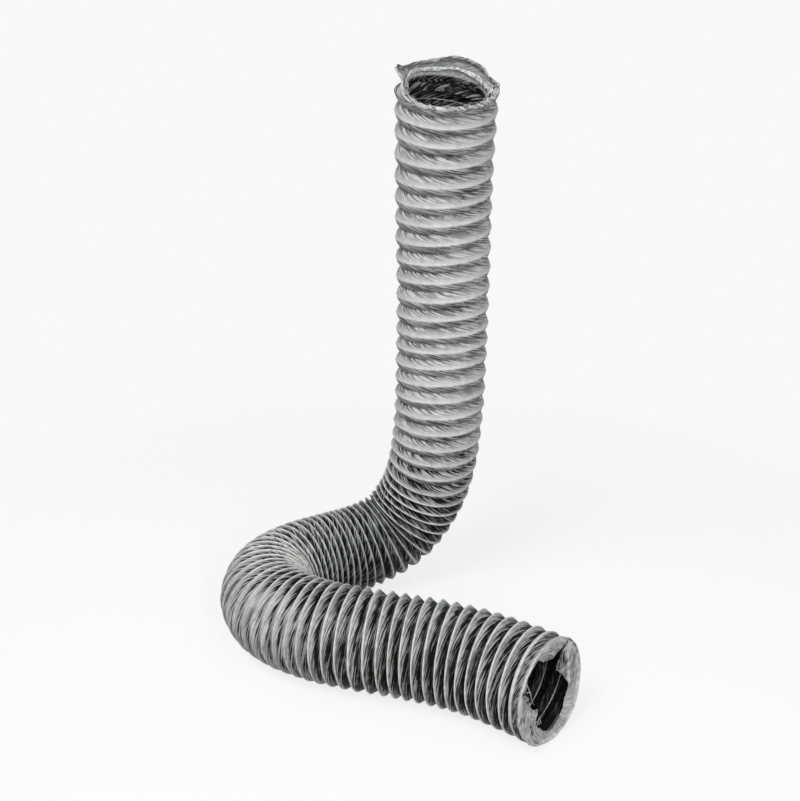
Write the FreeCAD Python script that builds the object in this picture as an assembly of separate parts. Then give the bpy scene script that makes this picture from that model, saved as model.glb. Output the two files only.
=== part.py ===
import FreeCAD, Part
import math
import os

# Flexible ventilation hose, nominal bore 102 mm, standing in a loop: the upper part rises on
# its own and the rest lies on the floor in a U-turn. Units are mm, +Z is up.
# A coated film sleeve is pleated over a spring-steel wire helix. The wire sits inside every
# crest, and between two turns the film folds inward to a sharp valley.

Vector = FreeCAD.Vector

# Driving dimensions
nominal_bore = 102.0
film_wall = 1.2
fold_depth = 5.4
wire_size = 1.3
wire_seat = 0.1
cuff_length = 8.0
cuff_lap = 3.0
cuff_cover = 0.15
cuff_blend = 2.5
flattest_fold = 9.0

# Columns round one turn of the helix, and how many cuff facets stand on one column
columns = 13
cuff_split = 2

# Turns of the wire, counted from the standing end: (turns, pitch along the centreline)
stretches = (
    (10, 22.0),
    (4, 20.5),
    (5, 18.3),
    (4, 17.8),
    (5, 13.8),
    (5, 12.1),
    (7, 8.6),
    (16, 10.4),
    (6, 12.2),
    (7, 13.4),
    (7, 14.0),
)
first_crest_angle = 327.0

# Centreline of the hose, from the standing end to the lying end
crest_radius = nominal_bore / 2 + film_wall + wire_seat
floor_level = 52
route = (
    Vector(57, 77, 585),
    Vector(56, 107, 511),
    Vector(59, 128, 367),
    Vector(56, 129, 194),
    Vector(38, 151, 107),
    Vector(-10, 141, floor_level),
    Vector(-132, 74, floor_level),
    Vector(-142, -2, floor_level),
    Vector(-83, -57, floor_level),
    Vector(52, -93, floor_level),
    Vector(117, -128, floor_level),
    Vector(154, -162, floor_level + 2),
)
corner_share = 0.45


class Centreline:
    """Straight runs joined by tangent arcs, with a frame that doesn't twist about the line."""

    def __init__(self, points):
        runs = [points[i + 1] - points[i] for i in range(len(points) - 1)]
        heading = Vector(runs[0]).normalize()
        side = Vector(1, 0, 0)
        side = (side - heading * side.dot(heading)).normalize()
        self.pieces = []
        self.length = 0.0
        self.radii = []
        here = points[0]
        for i in range(1, len(points) - 1):
            before = Vector(runs[i - 1]).normalize()
            after = Vector(runs[i]).normalize()
            turn = before.getAngle(after)
            trim = corner_share * min(runs[i - 1].Length, runs[i].Length)
            radius = trim / math.tan(turn / 2)
            start = points[i] - before * trim
            self.add_run(here, start, before, side)
            axis = before.cross(after).normalize()
            centre = start + axis.cross(before) * radius
            self.pieces.append((self.length, "arc", start, before, side, axis, centre))
            self.length += radius * turn
            self.radii.append(radius)
            side = FreeCAD.Rotation(axis, math.degrees(turn)).multVec(side)
            here = points[i] + after * trim
        self.add_run(here, points[-1], Vector(runs[-1]).normalize(), side)

    def add_run(self, start, end, heading, side):
        self.pieces.append((self.length, "run", start, heading, side, None, None))
        self.length += (end - start).Length

    def frame(self, station):
        """Point on the line and the two directions across it at this distance along it."""
        piece = self.pieces[0]
        for candidate in self.pieces:
            if candidate[0] <= station:
                piece = candidate
        begin, kind, start, heading, side, axis, centre = piece
        if kind == "run":
            return start + heading * (station - begin), side, heading.cross(side)
        arm = start - centre
        spin = FreeCAD.Rotation(axis, math.degrees((station - begin) / arm.Length))
        heading = spin.multVec(heading)
        side = spin.multVec(side)
        return centre + spin.multVec(arm), side, heading.cross(side)

    def point(self, station, angle, radius):
        middle, side, lift = self.frame(station)
        return middle + side * (radius * math.cos(angle)) + lift * (radius * math.sin(angle))


line = Centreline(route)
turns = round(sum(count for count, pitch in stretches))
helix_start = cuff_length + cuff_blend
helix_room = line.length - 2 * helix_start
pitch_scale = helix_room / sum(count * pitch for count, pitch in stretches)
last_step = turns * columns


def column_angle(step):
    """Angle of a column round the centreline."""
    return math.radians(first_crest_angle) + 2 * math.pi * step / columns


def crest_station(step):
    """Distance along the centreline of the crest at this step of the helix.

    Before the first step and after the last one the crest is the flat ring of a cuff.
    """
    left = min(max(step, 0), last_step) / columns
    station = helix_start
    for count, pitch in stretches:
        part = min(left, count)
        station += part * pitch * pitch_scale
        left -= part
    return station


def fold_at(step):
    """Station and depth of the valley between the crest at this step and the next turn's."""
    here = crest_station(step)
    following = crest_station(step + columns)
    depth = fold_depth * min(1.0, (following - here) / flattest_fold)
    return (here + following) / 2, depth


class Skin:
    """Triangles on shared points, made into one closed solid at the end."""

    def __init__(self):
        self.points = []
        self.known = {}
        self.facets = []

    def corner(self, place):
        key = (round(place.x, 4), round(place.y, 4), round(place.z, 4))
        if key not in self.known:
            self.known[key] = len(self.points)
            self.points.append(place)
        return self.known[key]

    def triangle(self, a, b, c):
        if a != b and b != c and c != a:
            self.facets.append((a, b, c))

    def band(self, first, second, inward):
        """Quadrilaterals between two rows with the same number of corners."""
        for i in range(len(first) - 1):
            a, b, c, d = first[i], first[i + 1], second[i + 1], second[i]
            if inward:
                a, b, c, d = b, a, d, c
            self.triangle(a, b, c)
            self.triangle(a, c, d)

    def fan_band(self, fine, coarse, inward):
        """Triangles between a fine row and a coarse row with fewer corners."""
        for i in range(len(coarse) - 1):
            for k in range(cuff_split):
                a = fine[i * cuff_split + k]
                b = fine[i * cuff_split + k + 1]
                tip = coarse[i] if k == 0 else coarse[i + 1]
                if inward:
                    a, b = b, a
                self.triangle(a, b, tip)
                if k == 0:
                    ends = (coarse[i], b, coarse[i + 1]) if not inward else (coarse[i + 1], a, coarse[i])
                    self.triangle(*ends)

    def solid(self):
        shell = Part.Shape()
        shell.makeShapeFromMesh((self.points, self.facets), 0.001, False)
        body = Part.makeSolid(Part.makeShell(shell.Faces))
        if body.Volume < 0:
            body.reverse()
        return body


def sleeve_rows(skin, radius):
    """Crest and valley rows of one side of the film at every step of the helix."""
    crests = []
    valleys = []
    for step in range(-columns, last_step + columns + 1):
        angle = column_angle(step)
        crests.append(skin.corner(line.point(crest_station(step), angle, radius)))
        if step <= last_step:
            station, depth = fold_at(step)
            valleys.append(skin.corner(line.point(station, angle, radius - depth)))
    return crests, valleys


def cuff_ring(skin, station, radius, first_step):
    """Fine ring of corners at one station, beginning at the column of this step."""
    count = columns * cuff_split
    return [
        skin.corner(line.point(station, column_angle(first_step + (i % count) / cuff_split), radius))
        for i in range(count + 1)
    ]


def cuff(end, inward):
    """Round cuff of film folded over the last turn, bored to slide over a duct collar."""
    outside = Part.makeCylinder(crest_radius, cuff_length, end, inward)
    bore = Part.makeCylinder(nominal_bore / 2, cuff_length, end, inward)
    return outside.cut(bore)


def film_sleeve():
    skin = Skin()
    facet = math.pi / (columns * cuff_split)
    outer_rim = crest_radius - cuff_cover
    inner_rim = nominal_bore / 2 / math.cos(facet) + cuff_cover
    near = cuff_length - cuff_lap
    clear = cuff_length + cuff_blend / 3
    rims = []
    for radius, rim_radius, inward in (
        (crest_radius, outer_rim, False),
        (crest_radius - film_wall, inner_rim, True),
    ):
        crests, valleys = sleeve_rows(skin, radius)
        count = len(valleys)
        skin.band(crests[:count], valleys, not inward)
        skin.band(valleys, crests[columns:columns + count], not inward)
        mouth = cuff_ring(skin, near, rim_radius, 0)
        ring = cuff_ring(skin, clear, rim_radius, 0)
        skin.band(mouth, ring, not inward)
        skin.fan_band(ring, crests[:columns + 1], not inward)
        foot = cuff_ring(skin, line.length - near, rim_radius, last_step)
        ring = cuff_ring(skin, line.length - clear, rim_radius, last_step)
        skin.band(ring, foot, not inward)
        skin.fan_band(ring, crests[-columns - 1:], inward)
        rims.append((mouth, foot))
    skin.band(rims[0][0], rims[1][0], False)
    skin.band(rims[0][1], rims[1][1], True)
    sleeve = skin.solid()
    standing_cuff = cuff(route[0], (route[1] - route[0]).normalize())
    lying_cuff = cuff(route[-1], (route[-2] - route[-1]).normalize())
    return sleeve.fuse([standing_cuff, lying_cuff])


def spring_wire():
    """Wire under every crest: its section narrows where the turns are bunched in a bend."""
    skin = Skin()
    top = crest_radius - film_wall - wire_seat
    base = top - wire_size
    rows = ([], [], [])
    for step in range(last_step + 1):
        angle = column_angle(step)
        station = crest_station(step)
        crest = line.point(station, angle, crest_radius)
        gap = min(
            (line.point(crest_station(step + shift), angle, crest_radius) - crest).Length
            for shift in (columns, -columns)
            if 0 <= step + shift <= last_step
        )
        room = 0.45 * gap * wire_size / fold_depth
        half = min(wire_size / 2, room)
        rows[0].append(skin.corner(line.point(station, angle, top)))
        rows[1].append(skin.corner(line.point(station + half, angle, base)))
        rows[2].append(skin.corner(line.point(station - half, angle, base)))
    skin.band(rows[0], rows[1], True)
    skin.band(rows[1], rows[2], True)
    skin.band(rows[2], rows[0], True)
    skin.triangle(rows[0][0], rows[2][0], rows[1][0])
    skin.triangle(rows[0][-1], rows[1][-1], rows[2][-1])
    return skin.solid()


os.makedirs("parts", exist_ok=True)
nodes = {"film_sleeve": film_sleeve(), "spring_wire": spring_wire()}
for name, shape in nodes.items():
    shape.exportStep("parts/" + name + ".step")
    box = shape.BoundBox
    print(name, "valid", shape.isValid(), "solids", len(shape.Solids), "volume", round(shape.Volume))
    print("  x", round(box.XMin, 1), round(box.XMax, 1), "y", round(box.YMin, 1), round(box.YMax, 1),
          "z", round(box.ZMin, 1), round(box.ZMax, 1), "faces", len(shape.Faces))
print("centreline", round(line.length, 1), "turns", turns, "pitch scale", round(pitch_scale, 3))
print("bend radii", [round(r) for r in line.radii])
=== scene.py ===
import math
from types import SimpleNamespace

import bpy
import numpy as np
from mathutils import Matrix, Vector


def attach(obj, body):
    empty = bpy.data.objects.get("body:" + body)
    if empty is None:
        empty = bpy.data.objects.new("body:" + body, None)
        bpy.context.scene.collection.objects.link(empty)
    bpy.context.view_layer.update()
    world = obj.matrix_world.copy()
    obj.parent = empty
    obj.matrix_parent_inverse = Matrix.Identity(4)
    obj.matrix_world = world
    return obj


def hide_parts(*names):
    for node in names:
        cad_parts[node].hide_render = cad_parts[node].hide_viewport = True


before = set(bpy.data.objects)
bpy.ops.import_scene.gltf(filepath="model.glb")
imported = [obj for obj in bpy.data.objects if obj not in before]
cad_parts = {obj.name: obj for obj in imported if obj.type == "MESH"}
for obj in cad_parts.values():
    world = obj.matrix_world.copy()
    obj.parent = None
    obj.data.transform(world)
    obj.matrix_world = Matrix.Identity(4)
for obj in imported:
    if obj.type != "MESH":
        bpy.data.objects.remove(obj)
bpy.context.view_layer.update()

bl_info = {
    "name": "Ventilation Hose",
    "version": (1, 0, 0),
    "blender": (4, 5, 0),
    "location": "View3D > Sidebar > Hose",
    "description": "Flexible ventilation hose of coated film over a spring wire, in a loop",
    "category": "Add Mesh",
}

# Control points of the hose's line, from the standing end to the lying end, in metres
HOSE_ROUTE = (
    (0.057, 0.077, 0.585),
    (0.056, 0.107, 0.511),
    (0.059, 0.128, 0.367),
    (0.056, 0.129, 0.194),
    (0.038, 0.151, 0.107),
    (-0.010, 0.141, 0.052),
    (-0.132, 0.074, 0.052),
    (-0.142, -0.002, 0.052),
    (-0.083, -0.057, 0.052),
    (0.052, -0.093, 0.052),
    (0.117, -0.128, 0.052),
    (0.154, -0.162, 0.054),
)

# Turns of the wire from the standing end: (turns, pitch in millimetres along the line)
WIRE_STRETCHES = (
    (10, 22.0), (4, 20.5), (5, 18.3), (4, 17.8), (5, 13.8), (5, 12.1),
    (7, 8.6), (16, 10.4), (6, 12.2), (7, 13.4), (7, 14.0),
)
WIRE_TURNS = sum(count for count, pitch in WIRE_STRETCHES)

# Length of hose beyond the wire's whole turns at each end, and the angle of the first crest
CUFF_ROOM = 0.0105
FIRST_CREST = math.radians(327.0)

# Counts of turns at which the wire starts and stops: it runs on past its whole turns
FIRST_TURN = -0.9
LAST_TURN = WIRE_TURNS + 0.45

# Places across one pleat where the film has a row of vertices: 0 and 1 are crests
PLEAT_ROWS = (0.0, 0.035, 0.08, 0.15, 0.25, 0.37, 0.45, 0.5, 0.56, 0.62, 0.71, 0.81, 0.90, 0.96)
SLEEVE_COLUMNS = 88

# Height of the film's ridge over the wire
RIDGE_HEIGHT = 0.0006

# Distances along the line, in metres, over which one part of the hose goes over into the next,
# and the middle of the U-turn's inside
FOOT = (0.36, 0.52)
UTURN_START = (0.60, 0.68)
UTURN_END = (0.80, 0.90)
FRONT_LEG = (0.67, 0.86)
UTURN_MIDDLE = (-0.080, 0.010, 0.052)

# Angle in radians from which the slant of the gathers is measured
GATHER_ANGLE = 8.5

# Rounding of the loose film at its rim
LIP_SIZE = 0.0011

# Random waves start anywhere in one cycle
ANY_PHASE = (0, 6.28)

# Camera of the photograph: its place, and how many degrees it looks down
CAMERA_PLACE = (0.0105, -0.8852, 0.5908)
CAMERA_DOWN = 18.946

# Brightness of the studio behind the hose
BACKDROP = (0.94, 0.94, 0.94, 1.0)


class HoseSettings(bpy.types.PropertyGroup):
    """Sizes and colours of the hose."""

    crest_radius: bpy.props.FloatProperty(
        name="Crest radius", description="Radius over the wire turns",
        default=0.0523, min=0.02, max=0.1, unit="LENGTH")
    fold_depth: bpy.props.FloatProperty(
        name="Fold depth", description="How far the film folds in between two turns",
        default=0.0062, min=0.0, max=0.02, unit="LENGTH")
    wire_diameter: bpy.props.FloatProperty(
        name="Wire diameter", description="Diameter of the spring wire",
        default=0.0013, min=0.0005, max=0.004, unit="LENGTH")
    film_colour: bpy.props.FloatVectorProperty(
        name="Film colour", description="Colour of the coated film on the crests",
        default=(0.62, 0.62, 0.62, 1.0), size=4, subtype="COLOR", min=0.0, max=1.0)
    # Painted shade: the film is mixed towards this colour in its creases and gathers' hollows
    crease_shade_colour: bpy.props.FloatVectorProperty(
        name="Crease colour", description="Colour of the film deep in the creases",
        default=(0.011, 0.011, 0.011, 1.0), size=4, subtype="COLOR", min=0.0, max=1.0)
    # Painted highlight: the film is mixed towards this colour on crests over the wire and rims
    crest_highlight_colour: bpy.props.FloatVectorProperty(
        name="Crest colour", description="Colour of the film drawn over the wire",
        default=(0.86, 0.86, 0.86, 1.0), size=4, subtype="COLOR", min=0.0, max=1.0)
    wire_colour: bpy.props.FloatVectorProperty(
        name="Wire colour", description="Colour of the spring steel",
        default=(0.42, 0.42, 0.43, 1.0), size=4, subtype="COLOR", min=0.0, max=1.0)


class StageSettings(bpy.types.PropertyGroup):
    """Camera and lights."""

    lens: bpy.props.FloatProperty(
        name="Lens", description="Focal length in millimetres",
        default=41.23, min=10.0, max=200.0)
    key_power: bpy.props.FloatProperty(
        name="Key light", description="Power of the main soft light",
        default=34.0, min=0.0, unit="POWER")
    world_strength: bpy.props.FloatProperty(
        name="World light", description="Strength of the even light from all round",
        default=0.30, min=0.0, max=2.0)
    floor_colour: bpy.props.FloatVectorProperty(
        name="Floor colour", description="Colour that the floor throws back on the hose",
        default=(0.40, 0.40, 0.40, 1.0), size=4, subtype="COLOR", min=0.0, max=1.0)


def ease(low, high, value):
    """Smooth step from 0 at low to 1 at high."""
    part = np.clip((value - low) / (high - low), 0.0, 1.0)
    return part * part * (3 - 2 * part)


class HoseLine:
    """The hose's line as dense points, with two directions across it that don't twist.

    The line is a smooth curve drawn to the control points. At each of its points the first
    direction is the last point's, laid square to the line again.
    """

    def __init__(self, control_points):
        curve = bpy.data.curves.new("hose_route", "CURVE")
        curve.dimensions = "3D"
        curve.resolution_u = 40
        spline = curve.splines.new("NURBS")
        spline.points.add(len(control_points) - 1)
        for point, place in zip(spline.points, control_points):
            point.co = (*place, 1.0)
        spline.order_u = 3
        spline.use_endpoint_u = True
        holder = bpy.data.objects.new("hose_route", curve)
        bpy.context.scene.collection.objects.link(holder)
        bpy.context.view_layer.update()
        mesh = bpy.data.meshes.new_from_object(holder)
        points = np.array([tuple(v.co) for v in mesh.vertices])
        bpy.data.objects.remove(holder)
        bpy.data.meshes.remove(mesh)
        bpy.data.curves.remove(curve)
        steps = np.linalg.norm(np.diff(points, axis=0), axis=1)
        points = points[np.concatenate([[True], steps > 1e-7])]
        steps = np.linalg.norm(np.diff(points, axis=0), axis=1)
        self.stations = np.concatenate([[0.0], np.cumsum(steps)])
        self.length = float(self.stations[-1])
        self.points = points
        heading = np.gradient(points, self.stations, axis=0)
        self.heading = heading / np.linalg.norm(heading, axis=1)[:, None]
        side = np.array([1.0, 0.0, 0.0])
        sides = []
        for direction in self.heading:
            side = side - direction * (side @ direction)
            side = side / np.linalg.norm(side)
            sides.append(side)
        self.side = np.array(sides)
        self.lift = np.cross(self.heading, self.side)

    def along(self, table, station):
        """Values of a table of vectors, one per point of the line, at these stations."""
        return np.stack([np.interp(station, self.stations, table[:, k]) for k in range(3)], axis=-1)

    def place(self, station, angle, radius):
        """Points at these stations, angles round the line and radii, all of one shape.

        Past either end the line runs on straight.
        """
        station = np.asarray(station, float)
        held = np.clip(station, 0.0, self.length)
        beyond = (station - held)[..., None]
        middle = self.along(self.points, held) + self.along(self.heading, held) * beyond
        spoke = (self.along(self.side, held) * np.cos(angle)[..., None]
                 + self.along(self.lift, held) * np.sin(angle)[..., None])
        return middle + spoke * np.asarray(radius)[..., None]


def crest_stations(line):
    """Table of the wire's turns against its distance along the line, with the pitch eased.

    The pitch is averaged over three turns, given three faint waves and added up. The sum is
    then stretched, so that the whole turns just fill the line between its two ends.
    """
    per_turn = 20
    turn = np.arange(-per_turn, WIRE_TURNS * per_turn + per_turn + 1) / per_turn
    pitch = np.full_like(turn, WIRE_STRETCHES[0][1])
    begin = 0.0
    for count, length in WIRE_STRETCHES:
        pitch[turn >= begin] = length
        begin += count
    spread = 30
    window = 2 * spread + 1
    padded = np.pad(pitch, spread, mode="edge")
    eased = np.convolve(padded, np.ones(window) / window, mode="valid")
    rough = np.random.default_rng(7)
    for wave in (1.9, 3.3, 5.7):
        eased = eased * (1 + 0.035 * np.sin(turn / wave * math.pi + rough.uniform(*ANY_PHASE)))
    station = np.concatenate([[0.0], np.cumsum((eased[1:] + eased[:-1]) / 2)])
    first, last = np.interp((0.0, WIRE_TURNS), turn, station)
    room = line.length - 2 * CUFF_ROOM
    return turn, CUFF_ROOM + (station - first) / (last - first) * room


def ring_tilt(station, angle):
    """How much further along the line a turn lies on the right than at the front.

    Near the standing end the turns lie tilted by the cosine of the angle, fading with distance.
    """
    return 0.0035 * np.cos(angle) * (1 - ease(0.03, 0.13, station))


def corner_values(values):
    """Values of a grid, shaped (rows, columns, values), at the four corners of each face."""
    corners = [values[:-1, :-1], values[:-1, 1:], values[1:, 1:], values[1:, :-1]]
    return np.stack(corners, axis=2).reshape(-1, 4, values.shape[-1])


def grid_faces(index, closed=False):
    """Four-sided faces of a grid of vertex numbers, its columns joined round if closed."""
    if closed:
        index = np.concatenate([index, index[:, :1]], axis=1)
    return corner_values(index[..., None])[..., 0]


def grid_mesh(name, rows, corner_layers, material, closed=False):
    """Object from a grid of points shaped (rows, columns, 3)."""
    count, columns = rows.shape[:2]
    faces = grid_faces(np.arange(count * columns).reshape(count, columns), closed)
    return mesh_object(name, rows.reshape(-1, 3), faces, corner_layers, material)


def mesh_object(name, points, faces, corner_layers, material, smooth=True):
    """Object from points and four-sided faces.

    A corner layer shaped (faces, 4, 2) becomes a UV map, and one shaped (faces, 4, 3) a
    colour attribute.
    """
    mesh = bpy.data.meshes.new(name)
    mesh.from_pydata(points.tolist(), [], faces.tolist())
    for layer_name, values in corner_layers.items():
        if values.shape[-1] == 2:
            layer = mesh.uv_layers.new(name=layer_name)
            layer.data.foreach_set("uv", np.asarray(values, np.float32).ravel())
        else:
            layer = mesh.color_attributes.new(layer_name, "FLOAT_COLOR", "CORNER")
            opaque = np.concatenate([values, np.ones_like(values[..., :1])], axis=-1)
            layer.data.foreach_set("color", np.asarray(opaque, np.float32).ravel())
    mesh.polygons.foreach_set("use_smooth", np.full(len(mesh.polygons), smooth))
    mesh.materials.append(material)
    mesh.update()
    piece = bpy.data.objects.new(name, mesh)
    bpy.context.scene.collection.objects.link(piece)
    return piece


def link_nodes(tree, *pairs):
    """Link each pair of an output and an input."""
    for source, target in pairs:
        tree.links.new(source, target)


def add_node(tree, kind, **values):
    """Shader node with its settings; a key that ends in _in is the value of an input."""
    node = tree.nodes.new(kind)
    for key, value in values.items():
        if key.endswith("_in"):
            node.inputs[key[:-3].replace("_", " ")].default_value = value
        else:
            setattr(node, key, value)
    return node


def film_material(settings):
    """Grey coated film with fine gathers; creases get painted shade, crests a painted highlight.

    The attribute folds holds, per corner: strength of the gathers, painted shade of the crease
    and painted highlight of the crest. The UV map gathers runs across and along the gathers,
    whose hollows and thin lines get painted shade as well.
    """
    material = bpy.data.materials.new("coated_film")
    material.use_nodes = True
    tree = material.node_tree
    shader = tree.nodes["Principled BSDF"]
    shader.inputs["Roughness"].default_value = 0.5
    shader.inputs["Specular IOR Level"].default_value = 0.08
    folds = add_node(tree, "ShaderNodeAttribute", attribute_name="folds")
    split = add_node(tree, "ShaderNodeSeparateColor")

    # Gathers: a noise drawn out along them, with painted shade in its hollows and a thin line of
    # painted shade down each slope
    grain = add_node(tree, "ShaderNodeUVMap", uv_map="gathers")
    gather = add_node(
        tree, "ShaderNodeTexNoise", noise_dimensions="2D", Scale_in=1.0, Detail_in=2.0,
        Roughness_in=0.5, Distortion_in=0.15)
    ridge = add_node(tree, "ShaderNodeMapRange", From_Min_in=0.42, From_Max_in=0.53)
    hollow = add_node(tree, "ShaderNodeMath", operation="SUBTRACT")
    hollow.inputs[0].default_value = 1.0
    dark = add_node(tree, "ShaderNodeMath", operation="MULTIPLY")
    from_line = add_node(tree, "ShaderNodeMath", operation="SUBTRACT")
    from_line.inputs[1].default_value = 0.455
    line_width = add_node(tree, "ShaderNodeMath", operation="ABSOLUTE")
    line = add_node(
        tree, "ShaderNodeMapRange", From_Min_in=0.012, From_Max_in=0.050, To_Min_in=0.60,
        To_Max_in=0.0)
    line_shade = add_node(tree, "ShaderNodeMath", operation="MULTIPLY")
    lined = add_node(tree, "ShaderNodeMath", operation="ADD")

    # Creases: their painted shade, broken up where a gather's ridge comes forward to the light
    gleam = add_node(
        tree, "ShaderNodeMapRange", From_Min_in=0.52, From_Max_in=0.62, To_Min_in=1.0,
        To_Max_in=0.42)
    creased = add_node(tree, "ShaderNodeMath", operation="MULTIPLY")
    shade = add_node(tree, "ShaderNodeMath", operation="ADD", use_clamp=True)

    # Mottle: a fine noise that varies the film's colour a little all over and breaks up the painted
    # highlight of the crests
    place = add_node(tree, "ShaderNodeTexCoord")
    mottle = add_node(tree, "ShaderNodeTexNoise", Scale_in=150.0, Detail_in=4.0, Roughness_in=0.6)
    mottled = add_node(
        tree, "ShaderNodeMapRange", From_Min_in=0.3, From_Max_in=0.7, To_Min_in=0.17,
        To_Max_in=-0.10)
    shaded = add_node(tree, "ShaderNodeMath", operation="ADD", use_clamp=True)
    patchy = add_node(
        tree, "ShaderNodeMapRange", From_Min_in=0.40, From_Max_in=0.56, To_Min_in=0.45)
    patchy_highlight = add_node(tree, "ShaderNodeMath", operation="MULTIPLY")

    # Colour from film to painted crease shade, painted highlight on the crests, and relief from
    # gathers and mottle
    colour = add_node(tree, "ShaderNodeMix", data_type="RGBA")
    colour.inputs["A"].default_value = settings.film_colour
    colour.inputs["B"].default_value = settings.crease_shade_colour
    # Painted highlight of the crests and rims, mixed in by the third value of folds
    highlighted = add_node(tree, "ShaderNodeMix", data_type="RGBA")
    highlighted.inputs["B"].default_value = settings.crest_highlight_colour
    strength = add_node(tree, "ShaderNodeMath", operation="MULTIPLY")
    height = add_node(tree, "ShaderNodeMath", operation="MULTIPLY_ADD")
    height.inputs[1].default_value = 0.25
    bump = add_node(tree, "ShaderNodeBump", Distance_in=0.0018, Strength_in=1.0)
    link_nodes(
        tree,
        (folds.outputs["Color"], split.inputs["Color"]),
        (grain.outputs["UV"], gather.inputs["Vector"]),
        (gather.outputs["Fac"], ridge.inputs["Value"]),
        (ridge.outputs["Result"], hollow.inputs[1]),
        (hollow.outputs["Value"], dark.inputs[0]),
        (split.outputs["Red"], dark.inputs[1]),
        (gather.outputs["Fac"], from_line.inputs[0]),
        (from_line.outputs["Value"], line_width.inputs[0]),
        (line_width.outputs["Value"], line.inputs["Value"]),
        (line.outputs["Result"], line_shade.inputs[0]),
        (split.outputs["Red"], line_shade.inputs[1]),
        (dark.outputs["Value"], lined.inputs[0]),
        (line_shade.outputs["Value"], lined.inputs[1]),
        (lined.outputs["Value"], shade.inputs[0]),
        (gather.outputs["Fac"], gleam.inputs["Value"]),
        (gleam.outputs["Result"], creased.inputs[0]),
        (split.outputs["Green"], creased.inputs[1]),
        (creased.outputs["Value"], shade.inputs[1]),
        (place.outputs["Object"], mottle.inputs["Vector"]),
        (mottle.outputs["Fac"], mottled.inputs["Value"]),
        (shade.outputs["Value"], shaded.inputs[0]),
        (mottled.outputs["Result"], shaded.inputs[1]),
        (shaded.outputs["Value"], colour.inputs["Factor"]),
        (mottle.outputs["Fac"], patchy.inputs["Value"]),
        (patchy.outputs["Result"], patchy_highlight.inputs[0]),
        (split.outputs["Blue"], patchy_highlight.inputs[1]),
        (patchy_highlight.outputs["Value"], highlighted.inputs["Factor"]),
        (colour.outputs["Result"], highlighted.inputs["A"]),
        (highlighted.outputs["Result"], shader.inputs["Base Color"]),
        (ridge.outputs["Result"], strength.inputs[0]),
        (split.outputs["Red"], strength.inputs[1]),
        (mottle.outputs["Fac"], height.inputs[0]),
        (strength.outputs["Value"], height.inputs[2]),
        (height.outputs["Value"], bump.inputs["Height"]),
        (bump.outputs["Normal"], shader.inputs["Normal"]),
    )
    return material


def wire_material(settings):
    """Dull spring steel."""
    material = bpy.data.materials.new("spring_steel")
    material.use_nodes = True
    shader = material.node_tree.nodes["Principled BSDF"]
    shader.inputs["Base Color"].default_value = settings.wire_colour
    shader.inputs["Metallic"].default_value = 0.9
    shader.inputs["Roughness"].default_value = 0.42
    return material


def seam_angle(base):
    """Angle of the grid's seam, which goes from the back of the standing part to the inside."""
    return math.radians(270.0) + math.radians(126.0) * ease(22.0, 52.0, base)


def sleeve_grid(line, settings, columns):
    """Places of the sleeve's vertices, on a helical grid whose rows follow the wire.

    A row keeps its phase, its place between two turns of the wire, where 0 and 1 are crests.
    Its columns go once round from the seam, and its last one is the first one of the row a
    turn further on. A vertex lies as far from the near crest to the far one as its phase says.
    """
    turn, station_table = crest_stations(line)
    lead = (seam_angle(0.0) - FIRST_CREST) / (2 * math.pi)
    first = int(math.floor(FIRST_TURN - 1 - lead))
    last = int(math.ceil(WIRE_TURNS - lead)) + 1
    base = (np.arange(first, last)[:, None] + np.array(PLEAT_ROWS)).ravel()
    base = np.append(base, float(last))
    begin = seam_angle(base)[:, None]
    sweep = 2 * math.pi + (seam_angle(base + 1) - seam_angle(base))[:, None]
    angle = begin + np.arange(columns + 1) / columns * sweep
    whole = np.floor(base + 1e-9)[:, None]
    phase = base[:, None] - whole
    wire_turn = whole + (angle - FIRST_CREST) / (2 * math.pi)
    near = np.interp(np.clip(wire_turn, FIRST_TURN, LAST_TURN), turn, station_table)
    far = np.interp(np.clip(wire_turn + 1, FIRST_TURN, LAST_TURN), turn, station_table)
    near = near + ring_tilt(near, angle)
    far = far + ring_tilt(far, angle)
    station = near + (far - near) * phase
    middle = line.place(station, angle, np.zeros_like(station))
    crest_radius = np.full_like(station, settings.crest_radius)
    crest_gap = np.linalg.norm(
        line.place(far, angle, crest_radius) - line.place(near, angle, crest_radius), axis=-1)
    return SimpleNamespace(
        angle=angle, phase=phase, wire_turn=wire_turn, station=station, middle=middle,
        spoke=line.place(station, angle, np.ones_like(station)) - middle, crest_gap=crest_gap)


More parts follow.
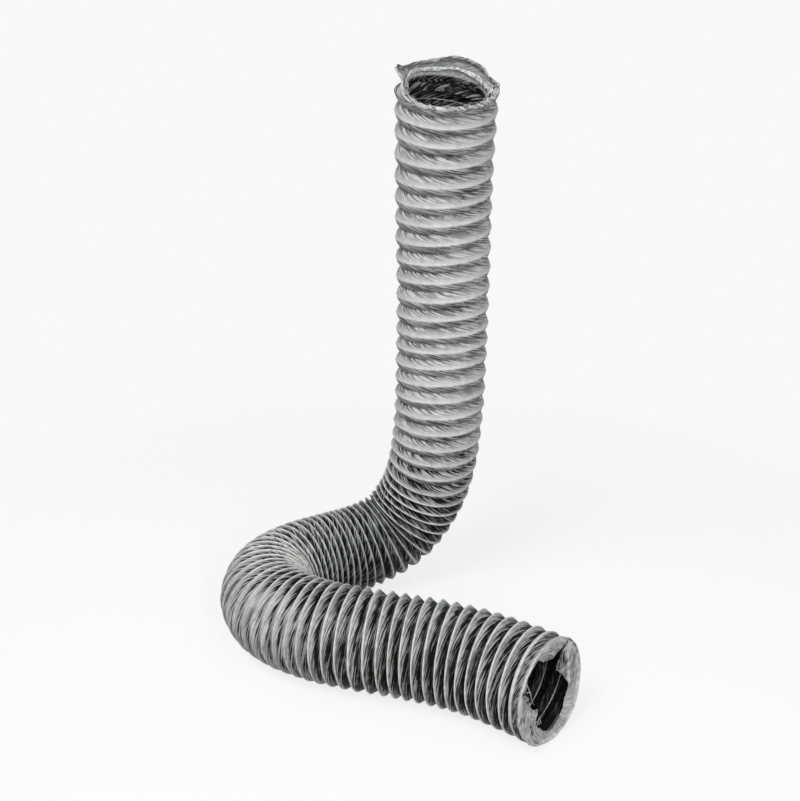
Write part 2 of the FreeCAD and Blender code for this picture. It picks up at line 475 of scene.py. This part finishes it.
def pleat_form(grid, settings, inset):
    """Radius of the film at every vertex of the sleeve, with the measures its shades go by.

    The radius falls from the crest as a circle's arc does, to the crease half way or, on the
    front leg, a little past it, and the film has a low ridge over the wire. Where the turns
    lie close, the pleat's sides are straighter. On the outer side of the U-turn the film is
    pulled nearly flat.
    """
    station, phase, crest_gap = grid.station, grid.phase, grid.crest_gap
    front = ease(*FRONT_LEG, station)
    crease = 0.5 + 0.12 * front
    pleat = np.where(phase < crease, 0.5 * phase / crease, 1 - 0.5 * (1 - phase) / (1 - crease))
    away = np.abs(pleat - np.round(pleat)) / 0.5
    bow = 0.93
    bowed = (1 - np.sqrt(1 - (bow * away) ** 2)) / (1 - math.sqrt(1 - bow ** 2))

    rough = np.random.default_rng(11)
    uneven = np.zeros_like(station)
    waves_round = (2, 3, 5)
    for waves in waves_round:
        drift = grid.wire_turn * rough.uniform(0.6, 2.4)
        uneven = uneven + np.sin(waves * grid.angle + drift + rough.uniform(*ANY_PHASE))
    uneven = uneven / len(waves_round)

    in_uturn = ease(*UTURN_START, station) * (1 - ease(*UTURN_END, station))
    outward = grid.middle - np.array(UTURN_MIDDLE)
    outward = outward / np.linalg.norm(outward, axis=-1)[..., None]
    outer = np.clip((grid.spoke * outward).sum(-1), 0, 1)
    slack = 1 - 0.86 * in_uturn * ease(0.10, 0.75, outer)

    narrow = np.minimum(1.0, crest_gap / 0.009)
    tight = 1 - ease(0.008, 0.019, crest_gap)
    drop = bowed * (1 - tight) + away ** 0.9 * tight
    depth = (settings.fold_depth + 0.002 * tight) * (0.4 + 0.6 * narrow) * slack
    depth = depth * (1 + 0.08 * uneven)
    ridge_width = np.minimum(
        0.0009 - 0.0002 * ease(*FOOT, station) - 0.00015 * front, 0.11 * crest_gap + 1e-7)
    over_wire = np.exp(-(np.minimum(phase, 1 - phase) * crest_gap / ridge_width) ** 2)
    radius = settings.crest_radius - RIDGE_HEIGHT - inset - depth * drop
    radius = radius + RIDGE_HEIGHT * over_wire + 0.0003 * uneven
    return SimpleNamespace(
        radius=radius, before_crease=pleat < 0.5, away=away, front=front, uneven=uneven,
        slack=slack, tight=tight, over_wire=over_wire)


def pleat_shades(grid, form, inner_shade):
    """Strength of the gathers, painted crease shade and painted crest highlight at every vertex.

    Each grows or falls from the crest to the crease as a smooth step or a power of away, the
    share of that way. The standing part has sharp gathers under each crest, the lying part
    has creases painted dark, and the pulled film of the U-turn has little of either.
    """
    station, before_crease, away = grid.station, form.before_crease, form.away
    front, slack, tight = form.front, form.slack, form.tight
    lying = ease(*FOOT, station)
    standing = 1 - lying
    sharp = before_crease * standing

    deep = np.where(
        before_crease,
        ease(0.22 + 0.30 * front, 0.85 + 0.07 * front, away) * (1 + 0.3 * front),
        ease(0.22, 0.85, away))
    strength = sharp * ease(0.03, 0.20, away) * 1.15
    strength = strength + (1 - sharp) * (standing * ease(0.15, 0.80, away) + lying * deep)
    strength = np.maximum(strength * (1 - 0.2 * tight) * (1 + 0.25 * form.uneven), 0.0)
    strength = strength * (0.2 + 0.8 * slack) + 0.26 * (1 - slack)
    strength = np.maximum(
        strength * (1 - 0.52 * standing), 0.16 * front * ease(0.05, 0.20, away))
    if inner_shade > 0:
        strength = strength * (0.1 + 0.9 * ease(0.020, 0.070, station))

    face = (1 - front) * away + front * 1.12 * ease(0.45, 0.92, away)
    flank = np.where(before_crease, face, np.minimum(1.0, 1.7 * away))
    shade = 0.70 - 0.60 * standing + 0.45 * tight * lying + 0.80 * tight * standing
    shade = shade * (away * standing + flank * lying) ** (1.3 + 0.5 * standing - 1.1 * tight)
    shade = shade * (0.22 + 0.78 * slack)
    # Painted shade on the lying film, more on its sides that don't face up, as if lit from above
    upward = np.clip(grid.spoke[..., 2], 0, 1)
    painted_lower_shade = 0.30 - 0.23 * upward + (0.46 - 0.12 * upward) * front * before_crease
    shade = shade + painted_lower_shade * lying * slack * ease(0.05, 0.20 - 0.04 * front, away)
    # More painted shade: low on the pulled film, under standing crests, and inside the hose
    shade = shade + 0.13 * lying * (1 - slack) * (1 - ease(0.0, 0.5, upward))
    shade = shade + 0.06 * sharp * ease(0.02, 0.12, away) * (1 - tight) + inner_shade

    # Painted highlight along the ridge over the wire, none inside the hose
    crest_light = form.over_wire * (0.36 + 0.50 * lying + 0.15 * tight - 0.10 * front)
    crest_light = crest_light * (0.15 + 0.85 * slack) * (inner_shade == 0)
    return np.stack([strength, shade, crest_light], axis=-1)


def gather_width(station):
    """Width of one gather in millimetres, which falls towards the lying end."""
    return 1.6 - 0.55 * ease(0.42, 0.62, station)


def gather_map(grid, line, settings):
    """UV map in which the gathers lie straight: its values go across them and along them.

    Across them it is the way round the hose times their slope, plus the way down the hose,
    both counted in gathers. Along them it is the way round, less the way down times the slope.
    """
    slope = 0.28 - 0.17 * ease(0.45, 0.85, grid.station)
    knots = np.linspace(-0.1, line.length + 0.1, 600)
    gathers = np.cumsum(1000 * (knots[1] - knots[0]) / gather_width(knots))
    turned = settings.crest_radius * 1000 * (grid.angle - GATHER_ANGLE)
    across = slope * turned / gather_width(grid.station)
    across = across + np.interp(grid.station, knots, gathers)
    lengthwise = (slope * (grid.station * 1000) - turned) / 38.0
    return np.stack([across, lengthwise], axis=-1)


def build_sleeve(name, line, settings, material, columns, inset, inner_shade):
    """Pleated film from the wire's first turn to its last one, on the helical grid.

    Faces before the wire's start and past its stop are left out. inset is how far the film
    lies inside the crest radius, and inner_shade, where it isn't 0, is the painted shade that
    stands for the shade inside the hose.
    """
    grid = sleeve_grid(line, settings, columns)
    form = pleat_form(grid, settings, inset)
    points = line.place(grid.station, grid.angle, form.radius)
    count = len(points)
    per_turn = len(PLEAT_ROWS)
    used = count - per_turn
    index = np.zeros((count, columns + 1), dtype=np.int64)
    index[:, :-1] = np.arange(count * columns).reshape(count, columns)
    index[:-per_turn, -1] = index[per_turn:, 0]
    wire_turn = grid.wire_turn[:used]
    alive = ((wire_turn[:, 1:] > FIRST_TURN) & (wire_turn[:, :-1] + 1 < LAST_TURN)).ravel()
    layers = {
        "gathers": corner_values(gather_map(grid, line, settings)[:used + 1])[alive],
        "folds": corner_values(pleat_shades(grid, form, inner_shade)[:used + 1])[alive],
    }
    faces = grid_faces(index[:used + 1])[alive]
    return mesh_object(name, points[:, :-1].reshape(-1, 3), faces, layers, material)


def build_wire(line, settings, material):
    """Wire helix under the crests: a circle of wire swept along the helix."""
    turn, station_table = crest_stations(line)
    per_turn = 44
    steps = WIRE_TURNS * per_turn
    wire_turn = np.linspace(FIRST_TURN, LAST_TURN, steps + 1)
    angle = FIRST_CREST + 2 * math.pi * wire_turn
    station = np.interp(wire_turn, turn, station_table)
    station = station + ring_tilt(station, angle)
    sides = 6
    spin = np.arange(sides) / sides * 2 * math.pi
    half = settings.wire_diameter / 2
    radius = settings.crest_radius - RIDGE_HEIGHT - half + half * np.cos(spin)[None, :]
    shift = half * np.sin(spin)[None, :]
    angle = np.broadcast_to(angle[:, None], (steps + 1, sides))
    rows = line.place(station[:, None] + shift, angle, radius)
    return grid_mesh("spring_wire_turns", rows, {}, material, closed=True)


def film_damage(degrees, inward):
    """Masks at the lying end, each from 0 to 1: painted shade of the cut and of the hole spots, and
    the crumple, painted lighter.

    They are bell curves of the angle in degrees and of the share of the fold across the
    mouth. The cut's angle moves with that share.
    """
    painted_slit = np.exp(-((degrees + 38 + 75 * inward) / 2.4) ** 2)
    painted_slit = painted_slit * (1 - ease(0.40, 0.50, inward)) * (inward > 0)
    painted_holes = sum(
        np.exp(-((degrees - at) / wide) ** 2 - ((inward - deep) / 0.16) ** 2)
        for at, wide, deep in PAINTED_HOLES)
    crumple = np.exp(-((degrees + 80) / 20) ** 2) * ease(0.45, 0.75, inward)
    return painted_slit, painted_holes, crumple


def read_skirt(table, columns):
    """Measures of the loose film by column, lengths in metres, at even steps of the angle."""
    keys, *measures = np.array(table, float).T
    degrees = np.linspace(keys[0], keys[-1], columns + 1)
    out, across, back, notch, flare, tone = (np.interp(degrees, keys, row) for row in measures)
    return SimpleNamespace(
        degrees=degrees, out=out / 1000, across=across / 1000, back=back / 1000,
        notch=notch / 1000, flare=flare, tone=tone)


def ragged_edge(across, angle, rough):
    """How far the film folds in across the mouth, made uneven by waves and by single tufts."""
    ragged = np.zeros_like(angle)
    for waves in (5, 11, 19, 31, 53, 89):
        ragged = ragged + np.sin(waves * angle + rough.uniform(*ANY_PHASE)) / waves ** 0.5
    tufts = rough.normal(0, 1, angle.size) * (0.5 + 0.5 * np.sin(7 * angle + 1.0)) ** 2
    tufts[-1] = tufts[0] = 0
    return across * (1 + 0.07 * ragged) + 0.0005 * tufts * (across > 0.003)


def skirt_rows(film, rim, at_start):
    """Rows of the loose film: by column, how far past the wire each lies, and its radius.

    They rise from the wire to the rim, turn over a round lip by a sine and a cosine, and run
    in across the mouth as straight lines with a low arch. Between wire and rim the film dips
    in and out by smooth steps. upward and inward are the shares of the rise and of the fold.
    """
    rise = np.linspace(0, 1, 8 if at_start else 18)[:, None]
    lip = np.linspace(0, 1, 6)[1:, None]
    fold = np.linspace(0, 1, 28)[1:, None]
    foot = -0.0025
    climb = foot + (film.out - foot) * rise
    over_wire = (1 - rise) ** 2 if at_start else 1 - ease(foot, 0.0, climb)
    settle = ease(0.0, 0.35, rise) if at_start else ease(0.0008, 0.0045, climb)
    dip = film.notch * settle * (1 - film.flare * ease(0.55, 1.0, rise))
    rim_dip = film.notch * (1 - film.flare)
    arch = 0.0012 * np.sin(math.pi * fold) * np.clip(film.across / 0.01, 0, 1)
    return SimpleNamespace(
        climb=np.concatenate([
            climb,
            film.out + LIP_SIZE * np.sin(math.pi * lip),
            (film.out - film.back) * fold + film.out * (1 - fold) + arch,
        ]),
        radius=np.concatenate([
            rim - 0.0008 * over_wire - dip,
            rim - LIP_SIZE * (1 - np.cos(math.pi * lip)) - rim_dip,
            rim - 2 * LIP_SIZE - rim_dip - film.across * fold,
        ]),
        upward=np.concatenate([rise, 1 + 0 * lip, 1 + 0 * fold]),
        inward=np.concatenate([0 * rise, 0 * lip, fold]))


def skirt_shades(film, rows, sag, at_start, foot_shade, gathered, light):
    """Gathers' strength, painted shade and painted highlight of the loose film, by row and column.

    foot_shade is the painted shade next to the wire, gathered the strength of the gathers, least
    where the film stands out far, and light the painted highlight of the rim.
    """
    upward, inward = rows.upward, rows.inward
    # Painted shade: the table's shade by angle, more towards the fold's inner edge and along its
    # sag
    shade = film.tone * upward + 0.10 * inward + 0.07 * sag * inward
    strength = gathered * (0.6 + 0.4 * inward)
    if at_start:
        # Painted shade next to the wire
        shade = shade + foot_shade * (1 - ease(0.38, 0.52, upward))
        crest_light = np.zeros_like(rows.climb)
        strength = strength * np.where(film.out < 0.004, 1.4, 0.35)
    else:
        painted_slit, painted_holes, crumple = film_damage(film.degrees, inward)
        # Painted shade next to the wire and on the cut and hole spots; the crumple is painted
        # lighter
        foot_part = ease(0.0005, 0.0020, rows.climb) * (1 - ease(0.60, 0.80, upward))
        shade = shade + foot_shade * foot_part + 1.3 * painted_slit + 1.1 * painted_holes - 0.3 * crumple
        calm = 1 - 0.75 * ease(-0.3, 0.4, np.cos(np.radians(film.degrees - 60)))
        # Painted shade over the loose film, most round 60 degrees where the gathers are calm
        shade = shade + (0.04 + 0.10 * (1 - calm)) * upward
        # Painted highlight along the crest over the wire
        crest_light = 0.75 * np.exp(-(rows.climb / 0.0006) ** 2)
        strength = strength * (0.35 + 0.65 * ease(0.75, 1.0, upward))
        strength = strength * calm * np.where(film.out < 0.004, 1.4, 0.5)
    # Painted highlight of the rim and of the fold just inside it
    rim_light = light * ease(0.45, 0.6, upward)
    fold_light = (0.5 - light) * np.exp(-((inward - 0.08) / 0.12) ** 2) * (upward > 0.9)
    return np.stack(
        [strength, np.maximum(shade, 0.0), crest_light + rim_light + fold_light], axis=-1)


def build_skirt(name, line, settings, material, at_start, table, drop, foot_shade, gathered, light):
    """Loose film beyond the last turn of the wire at one mouth, as its table gives it by angle.

    The table runs once round, from one side of the wire's end to the other, and drop is how
    far the film lies inside the crest radius. Sines of the angle and of a row's place gather
    the fold, let the standing film lean and let the fold sag. The lying end's damage is
    pressed in.
    """
    columns = 440
    end_turn = FIRST_TURN if at_start else LAST_TURN
    round_it = np.linspace(0, 1, columns + 1) - (0 if at_start else 1)
    angle = FIRST_CREST + 2 * math.pi * end_turn + 2 * math.pi * round_it
    turn, station_table = crest_stations(line)
    wire_station = np.interp(end_turn + round_it, turn, station_table)
    wire_station = wire_station + ring_tilt(wire_station, angle)
    film = read_skirt(table, columns)
    film.across = ragged_edge(film.across, angle, np.random.default_rng(23 if at_start else 29))
    rim = settings.crest_radius - drop
    rows = skirt_rows(film, rim, at_start)
    upward, inward = rows.upward, rows.inward

    skew = 2.2 if at_start else 1.2
    ribbed = 1.0 if at_start else 0.25 + 1.1 * np.exp(-((film.degrees + 48) / 24) ** 2)
    gather = np.sin(47 * angle + skew * 9 * inward + 2 * upward)
    gather = gather + 0.7 * np.sin(29 * angle + skew * 6 * inward + 1.3)
    gather = gather * np.clip(inward * 3, 0, 1) * ribbed
    lean = np.sin(9 * angle + 3 * upward) + 0.6 * np.sin(21 * angle - 2 * upward)
    sag = np.sin(5 * angle + 2.6 * inward) + 0.7 * np.sin(8 * angle - 3.1 * inward + 2.0)
    station = rows.climb + (0.0009 if at_start else 0.0005) * gather + 0.0014 * sag * inward
    standing_out = np.clip(film.out / 0.01, 0, 1)
    radius = rows.radius + 0.0003 * gather + 0.0004 * lean * upward * standing_out
    sign = -1.0 if at_start else 1.0
    angle_grid = np.broadcast_to(angle, station.shape)
    points = line.place(wire_station + sign * station, angle_grid, radius)
    if not at_start:
        painted_slit, painted_holes, crumple = film_damage(film.degrees, inward)
        # The painted cut and hole spots are pressed in a little, and the crumple is rucked
        ruck = 0.0018 * crumple * np.sin(0.7 * film.degrees) * np.sin(17 * inward)
        points = points + line.heading[-1] * (ruck - 0.003 * (painted_slit + painted_holes))[..., None]

    arc_mm = settings.crest_radius * 1000 * angle
    run_mm = 1000 * sign * (np.abs(station) + (rim - radius))
    slope = 0.4
    across = (slope * arc_mm + run_mm) / 1.5
    lengthwise = (slope * run_mm - arc_mm) / 20.0
    folds = skirt_shades(film, rows, sag, at_start, foot_shade, gathered, light)
    layers = {
        "gathers": corner_values(np.stack([across, lengthwise], axis=-1)),
        "folds": corner_values(folds),
    }
    return grid_mesh(name, points, layers, material)


def build_strands(name, line, paths, thickness, material):
    """Thin round strands: a circle swept along each path, tapering to the tip.

    A path lists (angle in degrees, radius, distance from the lying end), both in millimetres.
    """
    points, faces = [], []
    first = 0
    for path in paths:
        keys = np.array(path, float)
        span = np.linspace(0, len(keys) - 1, 6 * (len(keys) - 1) + 1)
        angle, radius, beyond = (np.interp(span, np.arange(len(keys)), row) for row in keys.T)
        middle = line.place(line.length + beyond / 1000, np.radians(angle), radius / 1000)
        heading = np.gradient(middle, axis=0)
        heading = heading / np.linalg.norm(heading, axis=1)[:, None]
        side = np.cross(heading, np.array(OFF_STRAND))
        side = side / np.linalg.norm(side, axis=1)[:, None]
        lift = np.cross(heading, side)
        sides = 5
        spin = (np.arange(sides) / sides * 2 * math.pi)[None, :, None]
        spoke = side[:, None, :] * np.cos(spin) + lift[:, None, :] * np.sin(spin)
        taper = np.linspace(1.0, 0.45, len(span))[:, None, None] * thickness / 2
        count = len(span) * sides
        index = np.arange(first, first + count).reshape(len(span), sides)
        points.append((middle[:, None, :] + taper * spoke).reshape(-1, 3))
        faces.append(grid_faces(index, closed=True))
        first += count
    return mesh_object(name, np.concatenate(points), np.concatenate(faces), {}, material)


# Loose film by angle in degrees. In millimetres: how far it stands out past the wire, folds in
# across the mouth, lies back inside there and dips between the wire and the rim. Then the part
# of that dip regained at the rim, and the painted shade there.
STANDING_COLLAR = (
    (3, 0.5, 6, 1, 0, 0, 0.25), (20, 0.5, 8, 1, 0, 0, 0.2), (50, 0.5, 9, 2, 0, 0, 0.08),
    (90, 0.5, 7, 2, 0, 0, 0), (122, 0.5, 9, 2, 0, 0, 0), (136, 1.5, 7, 2, 0, 0, 0.05),
    (150, 4, 5, 1, 1, 0, 0.1), (162, 7, 3, 0, 3.5, 0, 0.15), (172, 10, 1, 0, 6.5, 0.1, 0.2),
    (181, 13, 0, 0, 8.5, 0.3, 0.25), (188, 15.5, 0, 0, 8.5, 0.75, 0.25),
    (195, 18, 0, 0, 8.5, 1.15, 0.3), (206, 16, 0, 0, 7, 0.85, 0.35),
    (224, 15.5, 0, 0, 4, 0.6, 0.4), (246, 18, 0, 0, 2, 0.5, 0.42), (264, 21, 0, 0, 1, 0.5, 0.42),
    (281, 23.5, 0, 0, 1, 0.5, 0.42), (292, 25.5, 0, 0, 1, 0.5, 0.42), (299, 26, 0, 0, 1, 0.5, 0.42),
    (312, 25, 0, 0, 2, 0.5, 0.4), (322, 25, 0, 0, 4, 0.5, 0.38), (327, 23, 0, 0, 5, 0.6, 0.35),
    (331, 19.5, 0, 0, 5.5, 0.8, 0.3), (336, 18.5, 1, 0, 6, 1, 0.3), (345, 20, 1, 0, 6, 1, 0.2),
    (354, 21.8, 2, 0, 6, 1, 0.2), (363, 22.5, 4, 1, 6, 1, 0.2),
)
STANDING_LINER = (
    (3, 0.5, 8, 4, 0, 0, 0), (50, 0.5, 9, 5, 0, 0, 0), (136, 0.5, 9, 5, 0, 0, 0.3),
    (160, 1, 7, 4, 2, 0, 0.5), (178, 1.5, 4, 2, 6, 0, 0.4), (190, 2, 2, 1, 7.5, 0.1, 0.3),
    (200, 5, 1, 0, 7.5, 0.3, 0.15), (210, 9, 1, 0, 6, 0.3, 0), (220, 11.5, 1, 0, 4.5, 0.1, 0),
    (237, 11.6, 1, 0, 3, 0, 0), (264, 12.3, 1, 0, 1, 0, 0), (276, 12.9, 1, 0, 1, 0, 0),
    (294, 14.7, 1, 0, 1, 0, 0), (316, 15.5, 1, 0, 2.5, 0, 0), (331, 15, 1, 0, 5.5, 0, 0),
    (345, 15, 1.5, 0, 6, 0, 0), (363, 18, 3, 1, 6, 0.5, 0),
)
LYING_FLAPS = (
    (-231, 14, 9, 3, 4, 1, 0.35), (-228, 14, 11, 3, 4, 1, 0.35), (-220, 13.5, 14, 3, 4, 1, 0.25),
    (-213, 13, 20, 4, 4, 1, 0.2), (-189, 12.5, 20, 4, 4, 1, 0.15), (-180, 12, 16, 4, 4, 1, 0.1),
    (-172, 12, 9, 4, 4, 1, 0.05), (-155, 11.5, 3, 3, 4, 1, 0), (-146, 11, 4, 3, 4, 1, 0.05),
    (-136, 11, 9, 4, 4, 1, 0.15), (-124, 10.5, 13, 4, 4, 1, 0.2), (-116, 10.5, 19, 4, 4, 1, 0.15),
    (-92, 10, 24, 4, 4, 1, 0.1), (-75, 9.5, 26, 5, 4, 1, 0.15), (-60, 9.5, 29, 5, 4, 1, 0.1),
    (-50, 9.5, 18, 4, 4, 1, 0.1), (-39, 9, 14, 4, 4, 1, 0.1), (-20, 9, 8, 4, 4, 1, 0.12),
    (-6, 9, 4, 4, 4, 1, 0.15), (6, 9, 6, 4, 3.5, 1, 0.15), (18, 8.5, 8, 4, 3, 1, 0.15),
    (39, 7, 12, 4, 2, 1, 0.15), (53, 5, 12, 4, 1, 1, 0.15), (65, 3.5, 18, 5, 0.5, 1, 0.2),
    (90, 2, 24, 6, 0, 1, 0.35), (112, 1, 28, 6, 0, 1, 0.6), (120, 0.5, 24, 5, 0, 1, 0.65),
    (129, 0.5, 12, 3, 0, 1, 0.6),
)

# Spots of painted shade, each standing for a hole in the film of the lying end: angle and half
# width in degrees, and share of the fold
PAINTED_HOLES = ((-93, 4.0, 0.2), (-126, 4.0, 0.4), (-108, 3.0, 0.8))

# Paths of the threads and of the wire's loose end: angle in degrees, radius and distance from
# the lying end in millimetres
LOOSE_THREADS = (
    ((221, 51, -1), (225, 47, 0), (231, 41, 0), (243, 34, -1), (257, 27, -3)),
    ((229, 49, 0), (227, 45, 1), (233, 41, 0), (231, 37, -2)),
    ((256, 41, 0), (264, 37, 2), (259, 33, 2), (268, 29, 0)),
    ((266, 39, 0), (274, 35, 2.5), (268, 32, 2), (278, 27, 0)),
    ((280, 36, 1), (287, 32, 2.5), (282, 29, 2), (291, 25, 0)),
    ((291, 34, 1), (297, 30, 2), (292, 27, 0)),
)
WIRE_END = (
    ((283, 38, 0.5), (294, 41, 1.6), (306, 43.5, 1.8), (315, 47.5, 1.4), (320, 50.5, 0.5)),
)
THREAD_THICKNESS = 0.0007
WIRE_END_THICKNESS = 0.0012

# A direction that no strand follows, from which its section is laid square to it
OFF_STRAND = (0.31, 0.77, 0.55)


class HOSE_OT_wire(bpy.types.Operator):
    """Make the spring wire and its loose end."""
    bl_idname = "hose.wire"
    bl_label = "Spring wire"

    def execute(self, context):
        settings = context.scene.vent_hose
        line = HoseLine(HOSE_ROUTE)
        steel = wire_material(settings)
        wire = build_wire(line, settings, steel)
        wire_end = build_strands("spring_wire_end", line, WIRE_END, WIRE_END_THICKNESS, steel)
        for piece in (wire, wire_end):
            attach(piece, "root")
        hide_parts("spring_wire")
        return {"FINISHED"}


class HOSE_OT_film(bpy.types.Operator):
    """Make the pleated film and its loose ends."""
    bl_idname = "hose.film"
    bl_label = "Film sleeve"

    def execute(self, context):
        settings = context.scene.vent_hose
        line = HoseLine(HOSE_ROUTE)
        film = film_material(settings)
        sleeve = build_sleeve(
            "film_sleeve_surface", line, settings, film, columns=SLEEVE_COLUMNS, inset=0.0,
            inner_shade=0.0)
        # Inner face of the film, painted dark with the shade that falls inside the hose
        lining = build_sleeve(
            "film_sleeve_lining", line, settings, film, columns=SLEEVE_COLUMNS // 2, inset=0.0005,
            inner_shade=1.10)
        # foot_shade paints shade next to the wire, and light a highlight at the rim
        collar = build_skirt(
            "film_standing_collar", line, settings, film, at_start=True, table=STANDING_COLLAR,
            drop=0.0, foot_shade=0.0, gathered=0.7, light=0.0)
        liner = build_skirt(
            "film_standing_liner", line, settings, film, at_start=True, table=STANDING_LINER,
            drop=0.0028, foot_shade=1.1, gathered=1.3, light=0.95)
        flaps = build_skirt(
            "film_lying_flaps", line, settings, film, at_start=False, table=LYING_FLAPS,
            drop=0.0, foot_shade=0.75, gathered=0.6, light=0.0)
        threads = build_strands(
            "film_loose_threads", line, LOOSE_THREADS, THREAD_THICKNESS, film)
        extras = [lining, collar, liner, flaps, threads]
        for piece in [sleeve] + extras:
            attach(piece, "root")
        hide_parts("film_sleeve")
        return {"FINISHED"}


def seeing_ray(tree, factor):
    """Give a mix factor the value 1 for rays that see the studio itself, also by reflection."""
    path = add_node(tree, "ShaderNodeLightPath")
    either = add_node(tree, "ShaderNodeMath", operation="MAXIMUM")
    whole = add_node(tree, "ShaderNodeMath", operation="MAXIMUM")
    link_nodes(
        tree,
        (path.outputs["Is Glossy Ray"], either.inputs[0]),
        (path.outputs["Is Transmission Ray"], either.inputs[1]),
        (path.outputs["Is Camera Ray"], whole.inputs[0]),
        (either.outputs["Value"], whole.inputs[1]),
        (whole.outputs["Value"], factor),
    )


class HOSE_OT_stage(bpy.types.Operator):
    """Make the floor, the lights and the camera."""
    bl_idname = "hose.stage"
    bl_label = "Stage"

    def execute(self, context):
        stage = context.scene.hose_stage
        floor_material = bpy.data.materials.new("studio_floor")
        floor_material.use_nodes = True
        tree = floor_material.node_tree
        shader = tree.nodes["Principled BSDF"]
        shader.inputs["Base Color"].default_value = stage.floor_colour
        shader.inputs["Roughness"].default_value = 0.9
        white = add_node(tree, "ShaderNodeBsdfDiffuse", Color_in=(0.93, 0.93, 0.93, 1.0))
        near_glow = add_node(tree, "ShaderNodeEmission", Color_in=(1.0, 1.0, 1.0, 1.0))
        far_glow = add_node(tree, "ShaderNodeEmission", Color_in=BACKDROP)
        shadowed = add_node(tree, "ShaderNodeMixShader")
        shadowed.inputs["Fac"].default_value = 0.80
        place = add_node(tree, "ShaderNodeTexCoord")
        reach = add_node(tree, "ShaderNodeVectorMath", operation="LENGTH")
        fade = add_node(tree, "ShaderNodeMapRange", From_Min_in=0.35, From_Max_in=0.9)
        spread = add_node(tree, "ShaderNodeMixShader")
        seen = add_node(tree, "ShaderNodeMixShader")
        seeing_ray(tree, seen.inputs["Fac"])
        link_nodes(
            tree,
            (white.outputs["BSDF"], shadowed.inputs[1]),
            (near_glow.outputs["Emission"], shadowed.inputs[2]),
            (place.outputs["Object"], reach.inputs[0]),
            (reach.outputs["Value"], fade.inputs["Value"]),
            (fade.outputs["Result"], spread.inputs["Fac"]),
            (shadowed.outputs["Shader"], spread.inputs[1]),
            (far_glow.outputs["Emission"], spread.inputs[2]),
            (shader.outputs["BSDF"], seen.inputs[1]),
            (spread.outputs["Shader"], seen.inputs[2]),
            (seen.outputs["Shader"], tree.nodes["Material Output"].inputs["Surface"]),
        )
        half = 3.0
        corners = half * np.array([(-1, -1, 0), (1, -1, 0), (1, 1, 0), (-1, 1, 0)])
        faces = np.array([[0, 1, 2, 3]])
        floor = mesh_object("studio_floor", corners, faces, {}, floor_material, smooth=False)

        world = bpy.data.worlds.new("studio_light")
        world.use_nodes = True
        tree = world.node_tree
        even = tree.nodes["Background"]
        even.inputs["Color"].default_value = (1.0, 1.0, 1.0, 1.0)
        even.inputs["Strength"].default_value = stage.world_strength
        seen = add_node(tree, "ShaderNodeBackground", Color_in=BACKDROP, Strength_in=1.0)
        blend = add_node(tree, "ShaderNodeMixShader")
        seeing_ray(tree, blend.inputs["Fac"])
        output = tree.nodes["World Output"]
        link_nodes(
            tree,
            (even.outputs["Background"], blend.inputs[1]),
            (seen.outputs["Background"], blend.inputs[2]),
            (blend.outputs["Shader"], output.inputs["Surface"]),
        )
        context.scene.world = world

        def soft_light(name, place, target, size, power):
            lamp = bpy.data.lights.new(name, "AREA")
            lamp.shape = "SQUARE"
            lamp.size = size
            lamp.energy = power
            holder = bpy.data.objects.new(name, lamp)
            holder.location = place
            aim = Vector(target) - Vector(place)
            holder.rotation_euler = aim.to_track_quat("-Z", "Y").to_euler()
            context.scene.collection.objects.link(holder)

        soft_light("key_light", (-0.9, -1.2, 2.2), (0, 0, 0.2), 1.0, stage.key_power)
        soft_light("fill_light", (0.5, -1.5, 1.0), (0.05, 0.1, 0.4), 1.2, stage.key_power * 0.42)

        camera_data = bpy.data.cameras.new("photo_camera")
        camera_data.lens = stage.lens
        camera_data.sensor_width = 36.0
        camera = bpy.data.objects.new("photo_camera", camera_data)
        camera.location = CAMERA_PLACE
        camera.rotation_euler = (math.radians(90.0 - CAMERA_DOWN), 0.0, 0.0)
        context.scene.collection.objects.link(camera)
        context.scene.camera = camera
        context.scene.view_settings.view_transform = "Standard"
        return {"FINISHED"}


class HOSE_PT_panel(bpy.types.Panel):
    """Buttons and sizes of the hose."""
    bl_idname = "HOSE_PT_panel"
    bl_label = "Ventilation Hose"
    bl_space_type = "VIEW_3D"
    bl_region_type = "UI"
    bl_category = "Hose"

    def draw(self, context):
        layout = self.layout
        for group in (context.scene.vent_hose, context.scene.hose_stage):
            for name in group.bl_rna.properties.keys():
                if name not in ("rna_type", "name"):
                    layout.prop(group, name)
        for operator in (HOSE_OT_wire, HOSE_OT_film, HOSE_OT_stage):
            layout.operator(operator.bl_idname)


CLASSES = (
    HoseSettings, StageSettings, HOSE_OT_wire, HOSE_OT_film, HOSE_OT_stage, HOSE_PT_panel)


def register():
    for item in CLASSES:
        bpy.utils.register_class(item)
    bpy.types.Scene.vent_hose = bpy.props.PointerProperty(type=HoseSettings)
    bpy.types.Scene.hose_stage = bpy.props.PointerProperty(type=StageSettings)


def unregister():
    del bpy.types.Scene.hose_stage
    del bpy.types.Scene.vent_hose
    for item in reversed(CLASSES):
        bpy.utils.unregister_class(item)


def main():
    register()
    bpy.ops.hose.wire()
    bpy.ops.hose.film()
    bpy.ops.hose.stage()


if __name__ == "__main__":
    main()
